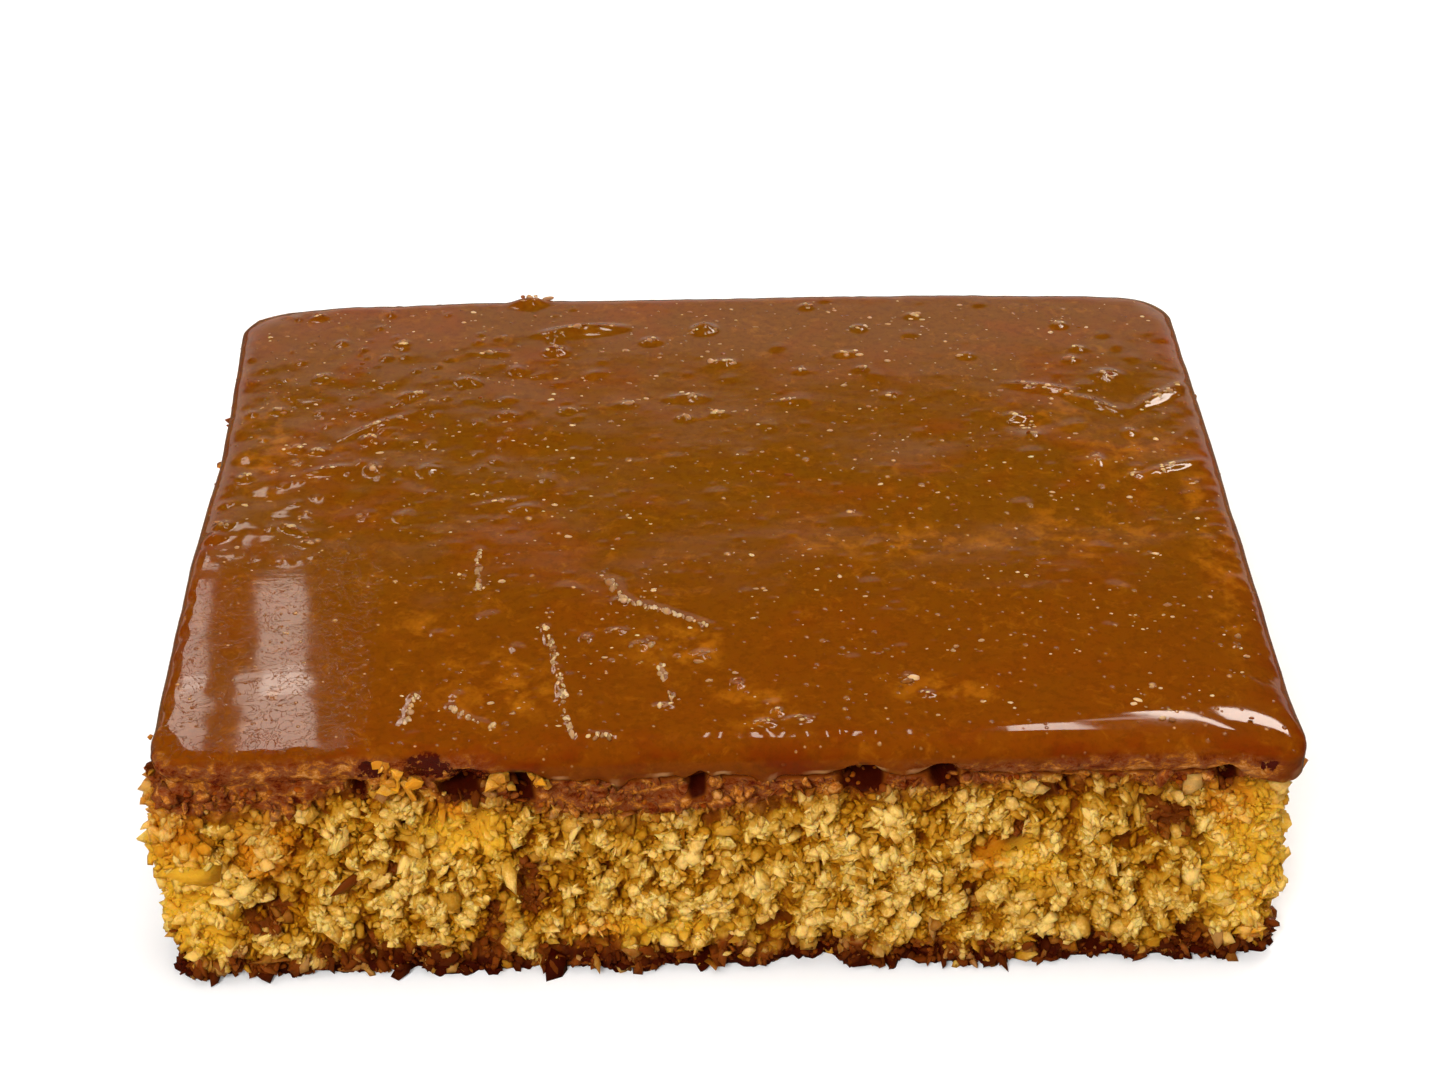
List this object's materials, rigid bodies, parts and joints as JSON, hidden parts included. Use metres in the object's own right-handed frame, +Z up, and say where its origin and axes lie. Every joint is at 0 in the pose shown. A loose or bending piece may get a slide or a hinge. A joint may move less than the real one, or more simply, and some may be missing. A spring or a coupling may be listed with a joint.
{
  "type": "basbousa, a glazed semolina cake",
  "caption": "Flat oblong cut of syrup-soaked semolina cake with torn crumbly sides, under a thick glossy caramel glaze that rolls over its edges.",
  "frame": {"origin": "centre of the flat base, at the middle of the piece's outline", "axes": "+Z up; +X to the right along the long side; -Y is the side that the cut crumb is seen from"},
  "size_m": [0.1306, 0.1034, 0.0335],
  "materials": {
    "crumb": "moist torn semolina crumb, cream-yellow grains over amber pores, darker and redder where syrup and caramel have soaked in",
    "caramel": "glossy, slightly translucent amber-brown caramel with fine pale flecks"
  },
  "bodies": {
    "root": {"semolina_cake": "crumb", "caramel_glaze": "caramel"}
  },
  "joints": []
}
